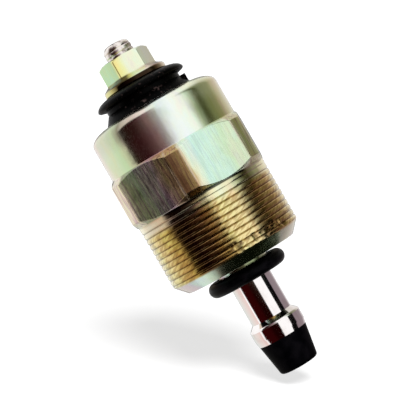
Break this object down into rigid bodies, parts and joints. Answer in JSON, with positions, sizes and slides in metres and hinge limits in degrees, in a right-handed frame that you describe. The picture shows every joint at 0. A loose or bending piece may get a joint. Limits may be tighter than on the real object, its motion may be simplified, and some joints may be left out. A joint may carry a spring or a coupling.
{
  "type": "fuel shutoff solenoid",
  "caption": "Screw-in fuel shutoff solenoid: threaded hexagon housing, insulated terminal stud, and a sprung plunger whose rubber tip closes a fuel port.",
  "frame": {"origin": "on the axis, at the underside of the hexagon, where the threaded shank begins", "axes": "+Z along the axis towards the terminal stud; the valve tip points to -Z; the square lug of the cap points to about +X"},
  "size_m": [0.0248, 0.0266, 0.0626],
  "materials": {
    "chromated_steel": "zinc plated and yellow chromated, iridescent",
    "stud_steel": "bright plated",
    "polished_steel": "ground and polished",
    "bare_steel": "turned",
    "spring_steel": "drawn wire",
    "brass": "drawn",
    "copper": "varnished wire",
    "tinned_steel": "tinned",
    "black_plastic": "moulded, satin",
    "black_rubber": "moulded, smooth",
    "natural_nylon": "moulded",
    "amber_tape": "film tape",
    "fibre_board": "pressed fibre"
  },
  "bodies": {
    "solenoid_body": {"housing": "chromated_steel", "terminal_nut": "chromated_steel", "terminal_stud": "stud_steel", "insulating_cap": "black_plastic", "nose_seal_ring": "black_rubber", "guide_sleeve": "brass", "core_shim": "brass", "fixed_core": "bare_steel", "pole_plate": "bare_steel", "return_spring": "spring_steel", "bobbin": "natural_nylon", "lead_bush": "natural_nylon", "coil_winding": "copper", "live_lead": "copper", "earth_lead": "copper", "coil_tape": "amber_tape", "coil_spacer": "fibre_board", "fibre_disc": "fibre_board", "contact_tag": "tinned_steel", "solder_joint": "tinned_steel", "sleeve_seal_ring": "black_rubber", "stud_seal_ring": "black_rubber", "cap_gasket": "black_rubber"},
    "valve_plunger": {"plunger": "polished_steel", "valve_tip": "black_rubber"}
  },
  "joints": [
    {"name": "plunger_slide", "type": "slide", "parent": "solenoid_body", "child": "valve_plunger", "axis": [0, 0, 1], "range_m": [0, 0.0025], "stiffness_N_per_m": 600, "deforming": ["return_spring"]}
  ]
}
